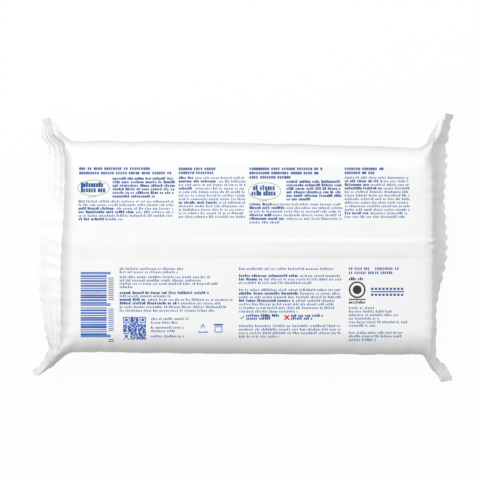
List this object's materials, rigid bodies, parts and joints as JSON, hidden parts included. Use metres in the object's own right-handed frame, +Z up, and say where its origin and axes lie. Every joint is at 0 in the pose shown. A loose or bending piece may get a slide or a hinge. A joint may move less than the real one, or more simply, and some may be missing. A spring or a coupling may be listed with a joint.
{
  "type": "wet wipes pack",
  "caption": "Sealed flow-wrapped pack of wet wipes with crimped saw-cut ends, a folded back seam and a reseal label on its front.",
  "frame": {"origin": "centre of the reseal label's main panel, on its outer face, where the pack rests", "axes": "+X along the pack, +Y across it, +Z up out of the back, which carries the folded seam"},
  "size_m": [0.2052, 0.1309, 0.0421],
  "materials": {
    "film": "satin white printed film",
    "label": "glossy pale blue self-adhesive film"
  },
  "bodies": {
    "root": {"sealed_pack": "film", "reseal_label": "label"}
  },
  "joints": []
}
